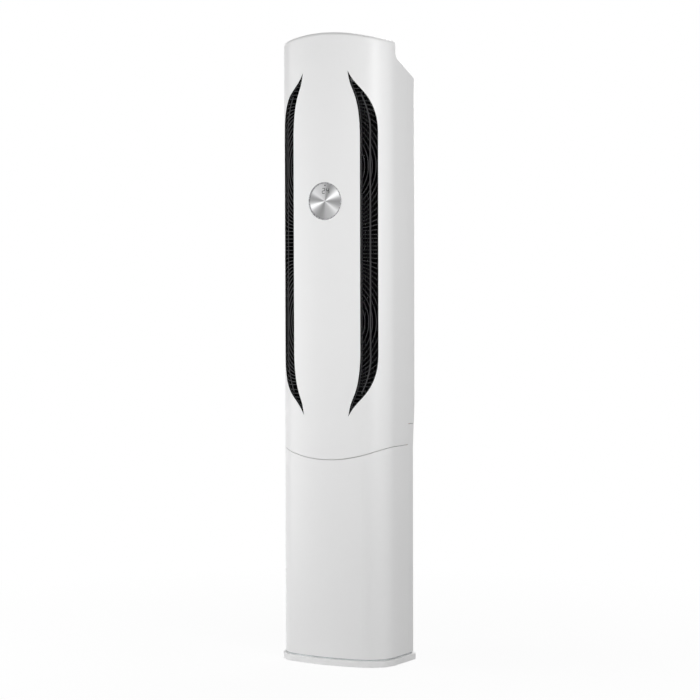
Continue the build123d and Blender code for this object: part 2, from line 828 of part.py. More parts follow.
with BuildPart() as fan_casing:
    with BuildSketch(Plane.XY.offset(deck_top)):
        add(casing_walls.sketch)
    extrude(amount=casing_top_height - deck_top)
    for z in (casing_floor_height, casing_top_height - casing_sheet):
        with BuildSketch(Plane.XY.offset(z)):
            add(casing_end.sketch)
        extrude(amount=casing_sheet)
    with BuildSketch(Plane.XY.offset(deck_top)):
        add(cabinet_plan(casing_inset, cabinet_depth))
    extrude(amount=casing_top_height - deck_top, mode=Mode.INTERSECT)
    with BuildSketch(Plane.XY.offset(casing_floor_height)):
        with Locations((fan_x, fan_y)):
            Circle(fan_hub_radius + throat_gap)
        with Locations((vane_x, vane_y)):
            Circle(vane_hub_radius)
    extrude(amount=casing_sheet, mode=Mode.SUBTRACT)
    with BuildSketch(Plane.XY.offset(casing_top_height - casing_sheet)):
        with Locations((fan_x, fan_y)):
            Circle(bearing_sleeve_radius + running_fit)
        with Locations((vane_x, vane_y)):
            Circle(vane_pin_radius + running_fit)
    extrude(amount=casing_sheet, mode=Mode.SUBTRACT)
save_pair(fan_casing, "fan_casing")

# Cross-flow wheel: discs joined by curved blades, with a shaft below and a pin above
bearing_top = casing_top_height + bearing_flange
with BuildPart() as fan_rotor:
    bay = (fan_length - fan_disc) / fan_bays
    for step in range(fan_bays + 1):
        with BuildSketch(Plane.XY.offset(fan_bottom_height + step * bay)):
            with Locations((fan_x, fan_y)):
                Circle(fan_radius)
                if 0 < step < fan_bays:
                    Circle(fan_radius - blade_chord, mode=Mode.SUBTRACT)
        extrude(amount=fan_disc)
    with BuildSketch(Plane.XY.offset(fan_bottom_height)):
        with BuildLine():
            for blade in range(blade_count):
                turn = 360 / blade_count
                ThreePointArc(
                    round_fan(blade * turn, -blade_sheet),
                    round_fan((blade + blade_lean_share) * turn, -blade_chord / 2),
                    round_fan(blade * turn, -blade_chord + blade_sheet),
                )
        trace(line_width=blade_sheet)
    extrude(amount=fan_length)
    with BuildSketch(Plane.XY.offset(fan_bottom_height)):
        with Locations((fan_x, fan_y)):
            Circle(fan_hub_radius)
    extrude(amount=-(casing_end_gap + casing_sheet))
    with BuildSketch(Plane.XY.offset(motor_top - motor_bore_depth + throat_gap)):
        with Locations((fan_x, fan_y)):
            Circle(fan_shaft_radius)
    extrude(until=Until.NEXT)
    with BuildSketch(Plane.XY.offset(fan_top_height)):
        with Locations((fan_x, fan_y)):
            Circle(fan_pin_radius)
    extrude(amount=fan_pin_length)
save_pair(fan_rotor, "fan_rotor")

with BuildPart() as fan_motor:
    with BuildSketch(Plane.XY.offset(deck_top + motor_mount_sheet)):
        with Locations((fan_x, fan_y)):
            Circle(motor_radius - motor_rib)
    extrude(amount=motor_height)
    for share in motor_band_shares:
        with BuildSketch(Plane.XY.offset(deck_top + motor_mount_sheet + share * motor_height)):
            with Locations((fan_x, fan_y)):
                Circle(motor_radius)
        extrude(amount=2 * motor_rib)
    with BuildSketch(Plane.XY.offset(motor_top - motor_bore_depth)):
        with Locations((fan_x, fan_y)):
            Circle(fan_shaft_radius + running_fit)
    extrude(amount=motor_bore_depth, mode=Mode.SUBTRACT)
save_pair(fan_motor, "fan_motor")

with BuildPart() as motor_mount:
    with BuildSketch(Plane.XY.offset(deck_top)):
        with Locations((fan_x, fan_y)):
            Circle(motor_mount_radius)
            Circle(motor_radius / 2, mode=Mode.SUBTRACT)
    extrude(amount=motor_mount_sheet)
save_pair(motor_mount, "motor_mount")

with BuildPart() as fan_bearing:
    with BuildSketch(Plane.XY.offset(casing_top_height)):
        with Locations((fan_x, fan_y)):
            Circle(bearing_flange_radius)
    extrude(amount=bearing_flange)
    with BuildSketch(Plane.XY.offset(casing_top_height)):
        with Locations((fan_x, fan_y)):
            Circle(bearing_sleeve_radius)
    extrude(amount=-(casing_sheet + bearing_flange))
    with BuildSketch(Plane.XY.offset(bearing_top)):
        with Locations((fan_x, fan_y)):
            Circle(fan_pin_radius + running_fit)
    extrude(amount=-(2 * bearing_flange + casing_sheet), mode=Mode.SUBTRACT)
save_pair(fan_bearing, "fan_bearing")

# Swing vane on two pins, and the small motor that turns it
vane_bottom = casing_floor_height + casing_sheet + vane_end_gap
vane_top = casing_top_height - casing_sheet - vane_end_gap
vane_plane = Plane(
    origin=(vane_x, vane_y, vane_bottom),
    x_dir=(sin(radians(outlet_angle)), -cos(radians(outlet_angle)), 0),
    z_dir=(0, 0, 1),
)
with BuildPart() as swing_vane:
    with BuildSketch(vane_plane):
        SlotOverall(vane_chord, vane_sheet)
        Circle(vane_hub_radius)
    extrude(amount=vane_top - vane_bottom)
    with BuildSketch(Plane.XY.offset(casing_floor_height - vane_motor_height + vane_sheet)):
        with Locations((vane_x, vane_y)):
            Circle(vane_pin_radius)
    extrude(until=Until.NEXT)
    with BuildSketch(Plane.XY.offset(vane_top)):
        with Locations((vane_x, vane_y)):
            Circle(vane_pin_radius)
    extrude(amount=vane_end_gap + casing_sheet)
save_pair(swing_vane, "swing_vane")

with BuildPart() as vane_motor:
    with BuildSketch(Plane.XY.offset(casing_floor_height)):
        with Locations((vane_x, vane_y)):
            Circle(vane_motor_radius)
    extrude(amount=-vane_motor_height)
    with BuildSketch(Plane.XY.offset(casing_floor_height)):
        with Locations((vane_x, vane_y)):
            SlotOverall(vane_motor_ears, 2 * vane_hub_radius)
    extrude(amount=-casing_sheet)
    with BuildSketch(Plane.XY.offset(casing_floor_height)):
        with Locations((vane_x, vane_y)):
            Circle(vane_pin_radius + running_fit)
    extrude(amount=-(vane_motor_height - casing_sheet), mode=Mode.SUBTRACT)
save_pair(vane_motor, "vane_motor")

# Brace across the tops of both casings
with BuildPart() as top_brace:
    with BuildSketch(Plane.XY.offset(bearing_top)):
        with Locations((0, deep((brace_front_depth + brace_back_depth) / 2))):
            Rectangle(brace_width, brace_back_depth - brace_front_depth)
    extrude(amount=brace_sheet)
    fillet(top_brace.edges().filter_by(Axis.Z), radius=bolt_head_radius)
save(top_brace, "top_brace")

# Evaporator: fin block, end plates and one serpentine tube
coil_y = deep(fins_front_depth + fins_depth / 2)
coil_length = tube_rows * tube_pitch
tube_heights = [fins_bottom_height + (row + 1 / 2) * tube_pitch for row in range(tube_rows)]
with BuildPart() as tube_holes:
    with BuildSketch(Plane.YZ.offset(-cabinet_width / 2)):
        with Locations(*[(coil_y, z) for z in tube_heights]):
            Circle(tube_radius + running_fit)
    extrude(amount=cabinet_width)
with BuildPart() as evaporator_fins:
    with BuildSketch(Plane.XY.offset(fins_bottom_height)):
        with Locations((0, coil_y)):
            Rectangle(fins_width, fins_depth)
    extrude(amount=coil_length)
    add(tube_holes.part, mode=Mode.SUBTRACT)
save(evaporator_fins, "evaporator_fins")

plate_x = fins_width / 2 + seat_gap + end_plate_sheet / 2
drain_floor = deck_top + pan_wall
with BuildPart() as evaporator_end_plates:
    with BuildSketch(Plane.XY.offset(drain_floor)):
        with Locations((plate_x, coil_y), (-plate_x, coil_y)):
            Rectangle(end_plate_sheet, fins_depth - end_plate_inset)
    extrude(amount=fins_bottom_height + coil_length + end_plate_inset - drain_floor)
    add(tube_holes.part, mode=Mode.SUBTRACT)
save(evaporator_end_plates, "evaporator_end_plates")

tube_end = plate_x + end_plate_sheet / 2
with BuildPart() as evaporator_tubes:
    with BuildSketch(Plane.YZ.offset(-tube_end)):
        with Locations(*[(coil_y, z) for z in tube_heights]):
            Circle(tube_radius)
    extrude(amount=2 * tube_end)
    for row in range(tube_rows - 1):
        side = -1 if row % 2 == 0 else 1
        turn_z = (tube_heights[row] + tube_heights[row + 1]) / 2
        with BuildSketch(Plane.YZ.offset(side * tube_end)):
            with Locations((coil_y, tube_heights[row])):
                Circle(tube_radius)
        revolve(axis=Axis((side * tube_end, coil_y, turn_z), (0, -side, 0)), revolution_arc=180)
    for z in (tube_heights[0], tube_heights[-1]):
        with BuildSketch(Plane.YZ.offset(tube_end)):
            with Locations((coil_y, z)):
                Circle(tube_radius)
        extrude(amount=tube_overhang)
save(evaporator_tubes, "evaporator_tubes")

# Drain pan under the coil, and its hose to the back
with BuildPart() as drain_pan:
    with BuildSketch(Plane.XY.offset(deck_top)):
        with Locations((0, deep((pan_front_depth + pan_back_depth) / 2))):
            Rectangle(pan_width, pan_back_depth - pan_front_depth)
    extrude(amount=pan_height)
    with BuildSketch(Plane.XY.offset(drain_floor)):
        with Locations((0, deep((pan_front_depth + pan_back_depth) / 2))):
            Rectangle(pan_width - 2 * pan_wall, pan_back_depth - pan_front_depth - 2 * pan_wall)
    extrude(amount=pan_height, mode=Mode.SUBTRACT)
    with BuildSketch(Plane.XY.offset(deck_top)):
        with Locations((hose_x, deep(hose_depth))):
            Circle(hose_radius - hose_wall)
    extrude(amount=pan_wall, mode=Mode.SUBTRACT)
save(drain_pan, "drain_pan")

with BuildPart() as drain_hose:
    hose_end_depth = cabinet_depth + hose_shoulder
    with BuildLine():
        FilletPolyline(
            (hose_x, deep(hose_depth), deck_top),
            (hose_x, deep(hose_depth), hose_outlet_height),
            (hose_x, deep(hose_end_depth), hose_outlet_height),
            radius=hose_bend,
        )
    with BuildSketch(Plane.XY.offset(deck_top)):
        with Locations((hose_x, deep(hose_depth))):
            Circle(hose_radius)
            Circle(hose_radius - hose_wall, mode=Mode.SUBTRACT)
    sweep()
    with BuildSketch(Plane.XZ.offset(-deep(hose_end_depth))):
        with Locations((hose_x, hose_outlet_height)):
            Circle(spigot_radius)
            Circle(hose_radius - hose_wall, mode=Mode.SUBTRACT)
    extrude(amount=-(hose_stick_out - hose_shoulder))
save(drain_hose, "drain_hose")


# Refrigerant pipes from the coil down to the unions, all along straight runs and arcs
def pipe(points, radius, bend, name):
    with BuildPart() as line:
        with BuildLine():
            path = FilletPolyline(*points, radius=bend)
        with BuildSketch(Plane(origin=path @ 0, z_dir=path % 0)):
            Circle(radius)
        sweep(path=path)
    save(line, name)


start_x = tube_end + tube_overhang
gas_points = [
    (start_x, coil_y, tube_heights[0]),
    (gas_drop_x, coil_y, tube_heights[0]),
    (gas_drop_x, coil_y, pipe_turn_height),
    (gas_union_x, coil_y, pipe_union_height),
    (gas_union_x, coil_y, union_top_height),
]
liquid_points = [
    (start_x, coil_y, tube_heights[-1]),
    (liquid_drop_x, coil_y, tube_heights[-1]),
    (liquid_drop_x, liquid_drop_y, tube_heights[-1] - tube_pitch),
    (liquid_drop_x, liquid_drop_y, pipe_turn_height),
    (liquid_union_x, coil_y, pipe_union_height),
    (liquid_union_x, coil_y, union_top_height),
]
pipe(gas_points, gas_pipe_radius, gas_bend, "gas_pipe")
pipe(liquid_points, liquid_pipe_radius, liquid_bend, "liquid_pipe")

# Brass unions for the line set, held in a bracket behind the electrical plate
union_sizes = (
    (gas_union_x, gas_pipe_radius, gas_thread_radius),
    (liquid_union_x, liquid_pipe_radius, liquid_thread_radius),
)
with BuildPart() as flare_unions:
    for x, bore, thread in union_sizes:
        with BuildSketch(Plane.XY.offset(union_top_height)):
            with Locations((x, coil_y)):
                RegularPolygon(thread + union_hex_over, 6)
        extrude(amount=-union_hex_height)
        with BuildSketch(Plane.XY.offset(union_top_height - union_hex_height)):
            with Locations((x, coil_y)):
                Circle(thread)
        extrude(amount=-union_thread_length)
        with BuildSketch(Plane.XY.offset(union_top_height)):
            with Locations((x, coil_y)):
                Circle(bore / 2)
        extrude(amount=-(union_hex_height + union_thread_length), mode=Mode.SUBTRACT)
save(flare_unions, "flare_unions")

plate_front_y = deep(upright_front_depth - plate_sheet)
bracket_low = liquid_union_x - pipe_bracket_edge
bracket_high = gas_union_x + pipe_bracket_edge
with BuildPart() as pipe_bracket:
    with BuildSketch(Plane.XY.offset(union_top_height + seat_gap)):
        with Locations(((bracket_low + bracket_high) / 2, deep(upright_front_depth))):
            bracket_reach = coil_y + pipe_bracket_edge - deep(upright_front_depth)
            Rectangle(bracket_high - bracket_low, bracket_reach, align=(Align.CENTER, Align.MIN))
        for x, bore, _ in union_sizes:
            with Locations((x, coil_y)):
                Circle(bore + seat_gap, mode=Mode.SUBTRACT)
    extrude(amount=pipe_bracket_sheet)
    with BuildSketch(Plane.XY.offset(union_top_height + seat_gap)):
        with Locations(((bracket_low + bracket_high) / 2, deep(upright_front_depth))):
            Rectangle(bracket_high - bracket_low, pipe_bracket_sheet, align=(Align.CENTER, Align.MIN))
    extrude(amount=2 * pipe_bracket_edge)
save(pipe_bracket, "pipe_bracket")

# Air filters, which lift out through the shoulder
with BuildPart() as air_filter:
    filter_y = deep(filter_depth)
    with BuildSketch(Plane.XZ.offset(-filter_y)):
        with Locations((slot_x, filter_bottom)):
            Rectangle(filter_width, filter_length, align=(Align.CENTER, Align.MIN))
    extrude(amount=-filter_thick)
    window = (filter_length - filter_border) / filter_bars - filter_border
    with BuildSketch(Plane.XZ.offset(-filter_y)):
        with Locations((slot_x, filter_bottom + filter_length / 2)):
            with GridLocations(0, window + filter_border, 1, filter_bars):
                Rectangle(filter_width - 2 * filter_border, window)
    extrude(amount=-(filter_thick - filter_net), mode=Mode.SUBTRACT)
    with BuildSketch(Plane.XZ.offset(-filter_y)):
        with Locations((slot_x, filter_bottom + filter_length)):
            Rectangle(filter_tab_width, filter_tab_height, align=(Align.CENTER, Align.MIN))
    extrude(amount=-filter_thick / 2)
save_pair(air_filter, "filter")

# Display: ring, metal disc and circuit board
with BuildPart() as display_bezel:
    with BuildSketch(front_plane(bezel_face_depth)):
        with Locations((0, display_height)):
            Circle(display_radius - seat_gap)
            Circle(display_radius - bezel_ring, mode=Mode.SUBTRACT)
    extrude(amount=-(bezel_flange_depth + bezel_flange_sheet - bezel_face_depth))
    with BuildSketch(front_plane(bezel_flange_depth)):
        with Locations((0, display_height)):
            Circle(display_radius + bezel_flange)
            Circle(display_radius - bezel_ring - bezel_lip, mode=Mode.SUBTRACT)
    extrude(amount=-bezel_flange_sheet)
save(display_bezel, "display_bezel")

with BuildPart() as display_disc:
    with BuildSketch(front_plane(bezel_face_depth + disc_recess)):
        with Locations((0, display_height)):
            Circle(display_radius - bezel_ring - seat_gap)
    extrude(amount=-disc_sheet)
    rim = display_disc.faces().sort_by(Axis.Y)[0].edges()
    fillet(rim, radius=disc_edge)
save(display_disc, "display_disc")

with BuildPart() as display_board:
    with BuildSketch(front_plane(bezel_flange_depth + bezel_flange_sheet + seat_gap)):
        with Locations((0, display_height)):
            Rectangle(display_board_size, display_board_size)
    extrude(amount=-board_sheet)
save(display_board, "display_board")

# Electrical plate across the uprights
with BuildPart() as electrical_plate:
    with BuildSketch(Plane.XZ.offset(-deep(upright_front_depth))):
        with Locations((0, (plate_bottom_height + plate_top_height) / 2)):
            Rectangle(plate_width, plate_top_height - plate_bottom_height)
    extrude(amount=plate_sheet)
save(electrical_plate, "electrical_plate")

# Control box with its lid, board and board parts
box_middle = (box_bottom_height + box_top_height) / 2
box_high = box_top_height - box_bottom_height
with BuildPart() as control_box:
    with BuildSketch(Plane.XZ.offset(-plate_front_y)):
        with Locations((0, box_middle)):
            Rectangle(box_width, box_high)
    extrude(amount=box_depth)
    with BuildSketch(Plane.XZ.offset(-(plate_front_y - box_sheet))):
        with Locations((0, box_middle)):
            Rectangle(box_width - 2 * box_sheet, box_high - 2 * box_sheet)
    extrude(amount=box_depth, mode=Mode.SUBTRACT)
    with BuildSketch(Plane.XZ.offset(-(plate_front_y - box_sheet))):
        with Locations((0, box_middle)):
            with GridLocations(box_width - 3 * board_margin, box_high - 3 * board_margin, 2, 2):
                Circle(standoff_radius)
    extrude(amount=standoff_height)
save(control_box, "control_box")

cover_back_y = plate_front_y - box_depth
with BuildPart() as control_cover:
    with BuildSketch(Plane.XZ.offset(-cover_back_y)):
        with Locations((0, box_middle)):
            Rectangle(box_width + 2 * (box_sheet + seat_gap), box_high + 2 * (box_sheet + seat_gap))
    extrude(amount=box_sheet)
    with BuildSketch(Plane.XZ.offset(-cover_back_y)):
        with Locations((0, box_middle)):
            Rectangle(box_width + 2 * (box_sheet + seat_gap), box_high + 2 * (box_sheet + seat_gap))
            Rectangle(box_width + 2 * seat_gap, box_high + 2 * seat_gap, mode=Mode.SUBTRACT)
    extrude(amount=-cover_lip)
save(control_cover, "control_cover")

lid_spots = [
    (side * (box_width / 2 - board_margin), box_middle + up * (box_high / 2 - board_margin))
    for side in (1, -1)
    for up in (1, -1)
]
with BuildPart() as cover_screws:
    with BuildSketch(Plane.XZ.offset(-(cover_back_y - box_sheet))):
        with Locations(*lid_spots):
            Circle(screw_head_radius)
    extrude(amount=screw_head_height)
    fillet(cover_screws.faces().sort_by(Axis.Y)[:len(lid_spots)].edges(), radius=screw_head_height / 2)
save(cover_screws, "cover_screws")

board_y = plate_front_y - box_sheet - standoff_height
with BuildPart() as control_board:
    with BuildSketch(Plane.XZ.offset(-board_y)):
        with Locations((0, box_middle)):
            Rectangle(box_width - 2 * board_margin, box_high - 2 * board_margin)
    extrude(amount=board_sheet)
save(control_board, "control_board")

# Board parts as shares of the board's half width and half height, with sizes
with BuildPart() as board_components:
    half_w = box_width / 2 - board_margin
    half_h = box_high / 2 - board_margin
    for across, up, wide, high, thick in board_part_shares:
        with BuildSketch(Plane.XZ.offset(-(board_y - board_sheet))):
            with Locations((across * half_w, box_middle + up * half_h)):
                Rectangle(wide * half_w, high * half_h)
        extrude(amount=thick * (box_depth - standoff_height))
    for across in capacitor_shares:
        with BuildSketch(Plane.XZ.offset(-(board_y - board_sheet))):
            with Locations((across * half_w, box_middle + capacitor_up_share * half_h)):
                Circle(capacitor_radius)
        extrude(amount=capacitor_height)
save(board_components, "board_components")

with BuildPart() as terminal_block:
    with BuildSketch(Plane.XZ.offset(-plate_front_y)):
        with Locations((0, box_bottom_height - terminal_gap)):
            Rectangle(terminal_width, terminal_height, align=(Align.CENTER, Align.MAX))
    extrude(amount=terminal_depth)
    terminal_z = box_bottom_height - terminal_gap - terminal_height / 2
    with BuildSketch(Plane.XZ.offset(-(plate_front_y - terminal_depth))):
        with Locations((0, terminal_z)):
            with GridLocations(terminal_pitch, terminal_height, terminal_count, 1):
                Rectangle(terminal_pitch - terminal_wall, terminal_height - 2 * terminal_wall)
    extrude(amount=-terminal_depth / 2, mode=Mode.SUBTRACT)
    with BuildSketch(Plane.XZ.offset(-(plate_front_y - terminal_depth / 2))):
        with Locations((0, terminal_z)):
            with GridLocations(terminal_pitch, terminal_height, terminal_count, 1):
                Circle(terminal_screw_radius)
    extrude(amount=terminal_screw_radius)
save(terminal_block, "terminal_block")

# Gland in the back for the mains lead
with BuildPart() as cable_gland:
    with BuildSketch(Plane.XZ.offset(-deep(cabinet_depth))):
        with Locations((gland_x, gland_height)):
            Circle(gland_flange_radius)
    extrude(amount=-gland_flange)
    with BuildSketch(Plane.XZ.offset(-deep(cabinet_depth))):
        with Locations((gland_x, gland_height)):
            Circle(gland_radius)
    extrude(amount=gland_flange_radius)
    with BuildSketch(Plane.XZ.offset(-deep(cabinet_depth + gland_flange))):
        with Locations((gland_x, gland_height)):
            Circle(gland_bore_radius)
    extrude(amount=gland_flange_radius + gland_flange, mode=Mode.SUBTRACT)
save(cable_gland, "cable_gland")
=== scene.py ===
import json
import math

import bpy
import numpy as np
from mathutils import Matrix, Vector

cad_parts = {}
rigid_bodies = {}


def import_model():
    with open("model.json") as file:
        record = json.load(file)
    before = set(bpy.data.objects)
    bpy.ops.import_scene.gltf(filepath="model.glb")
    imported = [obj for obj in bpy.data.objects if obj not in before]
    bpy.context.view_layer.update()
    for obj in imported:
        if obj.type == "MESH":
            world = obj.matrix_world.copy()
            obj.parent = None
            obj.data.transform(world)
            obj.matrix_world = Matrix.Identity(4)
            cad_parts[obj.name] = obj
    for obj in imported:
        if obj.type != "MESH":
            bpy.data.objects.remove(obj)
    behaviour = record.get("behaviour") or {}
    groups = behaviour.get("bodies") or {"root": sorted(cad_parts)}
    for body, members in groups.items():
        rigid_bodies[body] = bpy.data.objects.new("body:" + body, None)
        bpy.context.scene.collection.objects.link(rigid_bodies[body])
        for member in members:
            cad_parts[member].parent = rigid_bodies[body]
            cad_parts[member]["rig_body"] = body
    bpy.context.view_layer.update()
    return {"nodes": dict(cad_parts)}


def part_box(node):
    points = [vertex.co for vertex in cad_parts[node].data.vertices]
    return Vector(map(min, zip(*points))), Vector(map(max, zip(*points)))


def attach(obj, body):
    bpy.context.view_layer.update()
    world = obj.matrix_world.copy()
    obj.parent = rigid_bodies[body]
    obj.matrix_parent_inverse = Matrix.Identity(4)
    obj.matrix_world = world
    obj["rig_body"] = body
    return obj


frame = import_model()
nodes = frame["nodes"]
print("frame loaded:", len(nodes), "nodes")


# Small helpers for node trees and meshes

def addNode(tree, kind, **values):
    node = tree.nodes.new(kind)
    for name, value in values.items():
        setattr(node, name, value)
    return node


def mathNode(tree, operation, first, second=None, clamp=False):
    # A Math node; each input is a socket or a number
    node = addNode(tree, "ShaderNodeMath", operation=operation, use_clamp=clamp)
    for place, value in enumerate((first, second)):
        if value is None:
            continue
        if isinstance(value, bpy.types.NodeSocket):
            tree.links.new(value, node.inputs[place])
        else:
            node.inputs[place].default_value = value
    return node.outputs[0]


def mapRange(tree, value, low, high, toLow, toHigh):
    node = addNode(tree, "ShaderNodeMapRange", clamp=True)
    tree.links.new(value, node.inputs["Value"])
    numbers = {"From Min": low, "From Max": high, "To Min": toLow, "To Max": toHigh}
    for name, number in numbers.items():
        node.inputs[name].default_value = number
    return node.outputs["Result"]


def mixColour(tree, factor, first, second):
    # Blend of two colours, each a socket or three numbers
    node = addNode(tree, "ShaderNodeMix", data_type="RGBA")
    tree.links.new(factor, node.inputs[0])
    for place, colour in ((6, first), (7, second)):
        if isinstance(colour, bpy.types.NodeSocket):
            tree.links.new(colour, node.inputs[place])
        else:
            node.inputs[place].default_value = (*colour, 1)
    return node.outputs[2]


def newGroup(name, inputs, outputs):
    # Shader node group; inputs are (name, kind, value) and outputs are (name, kind)
    group = bpy.data.node_groups.new(name, "ShaderNodeTree")
    for label, kind, value in inputs:
        socket = group.interface.new_socket(label, in_out="INPUT", socket_type=kind)
        if value is not None:
            socket.default_value = value
    for label, kind in outputs:
        group.interface.new_socket(label, in_out="OUTPUT", socket_type=kind)
    entry = group.nodes.new("NodeGroupInput")
    leave = group.nodes.new("NodeGroupOutput")
    return group, entry, leave


def placeGroup(tree, group, vector, **values):
    node = addNode(tree, "ShaderNodeGroup", node_tree=group)
    tree.links.new(vector, node.inputs["Vector"])
    for name, value in values.items():
        node.inputs[name].default_value = value
    return node


def meshPiece(name, points, faces):
    # Object from an array of points (n, 3) in metres and a list of each face's corners
    mesh = bpy.data.meshes.new(name)
    mesh.from_pydata(points.tolist(), [], faces)
    mesh.update()
    piece = bpy.data.objects.new(name, mesh)
    bpy.context.scene.collection.objects.link(piece)
    return piece


def finishPiece(piece, body, material):
    piece.data.materials.append(material)
    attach(piece, body)
    return piece


# Shared surface effects

skinLook = {"grain": 900.0, "grainDetail": 3, "patch": 6.0, "patchDetail": 2}
linesLook = {"stretch": (1.0, 1.0, 0.02), "fineness": 1500.0, "detail": 2, "streakShare": 0.2}
dustLook = {"amount": 0.2, "upFrom": 0.5, "speckScale": 60, "speckDetail": 4}


def makeMouldedSkin(look):
    # Height: fine moulding grain. Cloud: slow change over a hand's width
    group, entry, leave = newGroup(
        "mouldedSkin",
        [
            ("Vector", "NodeSocketVector", None),
            ("Grain", "NodeSocketFloat", look["grain"]),
            ("Patch", "NodeSocketFloat", look["patch"]),
        ],
        [("Height", "NodeSocketFloat"), ("Cloud", "NodeSocketFloat")],
    )
    grain = addNode(group, "ShaderNodeTexNoise")
    grain.inputs["Detail"].default_value = look["grainDetail"]
    cloud = addNode(group, "ShaderNodeTexNoise")
    cloud.inputs["Detail"].default_value = look["patchDetail"]
    for noise, scale in ((grain, "Grain"), (cloud, "Patch")):
        group.links.new(entry.outputs["Vector"], noise.inputs["Vector"])
        group.links.new(entry.outputs[scale], noise.inputs["Scale"])
    group.links.new(grain.outputs[0], leave.inputs["Height"])
    group.links.new(cloud.outputs[0], leave.inputs["Cloud"])
    return group


def makeDrawnLines(look):
    # Lines along one axis, as rolling or brushing leaves: noise stretched by the Stretch vector
    group, entry, leave = newGroup(
        "drawnLines",
        [
            ("Vector", "NodeSocketVector", None),
            ("Stretch", "NodeSocketVector", look["stretch"]),
            ("Fineness", "NodeSocketFloat", look["fineness"]),
        ],
        [("Height", "NodeSocketFloat"), ("Streak", "NodeSocketFloat")],
    )
    stretch = addNode(group, "ShaderNodeVectorMath", operation="MULTIPLY")
    group.links.new(entry.outputs["Vector"], stretch.inputs[0])
    group.links.new(entry.outputs["Stretch"], stretch.inputs[1])
    fine = addNode(group, "ShaderNodeTexNoise")
    fine.inputs["Detail"].default_value = look["detail"]
    group.links.new(stretch.outputs[0], fine.inputs["Vector"])
    group.links.new(entry.outputs["Fineness"], fine.inputs["Scale"])
    broad = addNode(group, "ShaderNodeTexNoise")
    group.links.new(stretch.outputs[0], broad.inputs["Vector"])
    coarse = mathNode(group, "MULTIPLY", entry.outputs["Fineness"], look["streakShare"])
    group.links.new(coarse, broad.inputs["Scale"])
    group.links.new(fine.outputs[0], leave.inputs["Height"])
    group.links.new(broad.outputs[0], leave.inputs["Streak"])
    return group


def makeSettledDust(look):
    # Mask: thin dust on what faces up, broken by noise
    group, entry, leave = newGroup(
        "settledDust",
        [("Vector", "NodeSocketVector", None), ("Amount", "NodeSocketFloat", look["amount"])],
        [("Mask", "NodeSocketFloat")],
    )
    facing = addNode(group, "ShaderNodeNewGeometry")
    split = addNode(group, "ShaderNodeSeparateXYZ")
    group.links.new(facing.outputs["Normal"], split.inputs[0])
    upward = mapRange(group, split.outputs["Z"], look["upFrom"], 1.0, 0.0, 1.0)
    specks = addNode(group, "ShaderNodeTexNoise")
    specks.inputs["Scale"].default_value = look["speckScale"]
    specks.inputs["Detail"].default_value = look["speckDetail"]
    group.links.new(entry.outputs["Vector"], specks.inputs["Vector"])
    broken = mathNode(group, "MULTIPLY", upward, specks.outputs[0])
    amount = mathNode(group, "MULTIPLY", broken, entry.outputs["Amount"])
    group.links.new(amount, leave.inputs["Mask"])
    return group


mouldedSkin = makeMouldedSkin(skinLook)
drawnLines = makeDrawnLines(linesLook)
settledDust = makeSettledDust(dustLook)


def newMaterial(name):
    material = bpy.data.materials.new(name)
    material.use_nodes = True
    tree = material.node_tree
    shader = tree.nodes["Principled BSDF"]
    place = addNode(tree, "ShaderNodeTexCoord")
    return material, tree, shader, place.outputs["Object"]


def addBump(tree, shader, height, distance, strength):
    bump = addNode(tree, "ShaderNodeBump")
    bump.inputs["Distance"].default_value = distance
    bump.inputs["Strength"].default_value = strength
    tree.links.new(height, bump.inputs["Height"])
    tree.links.new(bump.outputs[0], shader.inputs["Normal"])


def plasticMaterial(name, look):
    # Moulded plastic, paint or rubber: grain, a slow change of tint and sheen, and dust
    material, tree, shader, place = newMaterial(name)
    skin = placeGroup(tree, mouldedSkin, place, Grain=look["grain"], Patch=look["patch"])
    dust = placeGroup(tree, settledDust, place, Amount=look["dust"])
    tinted = mixColour(tree, skin.outputs["Cloud"], look["colour"], look["secondColour"])
    dusty = mixColour(tree, dust.outputs["Mask"], tinted, look["dustColour"])
    tree.links.new(dusty, shader.inputs["Base Color"])
    sheen = mapRange(tree, skin.outputs["Cloud"], 0.0, 1.0, *look["roughness"])
    tree.links.new(sheen, shader.inputs["Roughness"])
    shader.inputs["Specular IOR Level"].default_value = look["gloss"]
    addBump(tree, shader, skin.outputs["Height"], look["depth"], look["bump"])
    return material


metalSpan = {"tint": (0.12, 0.38), "sheen": (0.3, 0.7)}  # the reach of the noise that counts


def metalMaterial(name, look):
    # Rolled, drawn or turned metal: lines along one axis, streaks and patches
    material, tree, shader, place = newMaterial(name)
    lines = placeGroup(tree, drawnLines, place, Stretch=look["stretch"], Fineness=look["fineness"])
    skin = placeGroup(tree, mouldedSkin, place, Patch=look["patch"])
    both = mathNode(tree, "MULTIPLY", lines.outputs["Streak"], skin.outputs["Cloud"])
    spread = mapRange(tree, both, *metalSpan["tint"], 0.0, 1.0)
    tinted = mixColour(tree, spread, look["colour"], look["secondColour"])
    tree.links.new(tinted, shader.inputs["Base Color"])
    sheen = mapRange(tree, lines.outputs["Streak"], *metalSpan["sheen"], *look["roughness"])
    tree.links.new(sheen, shader.inputs["Roughness"])
    shader.inputs["Metallic"].default_value = look["metal"]
    addBump(tree, shader, lines.outputs["Height"], look["depth"], look["bump"])
    return material


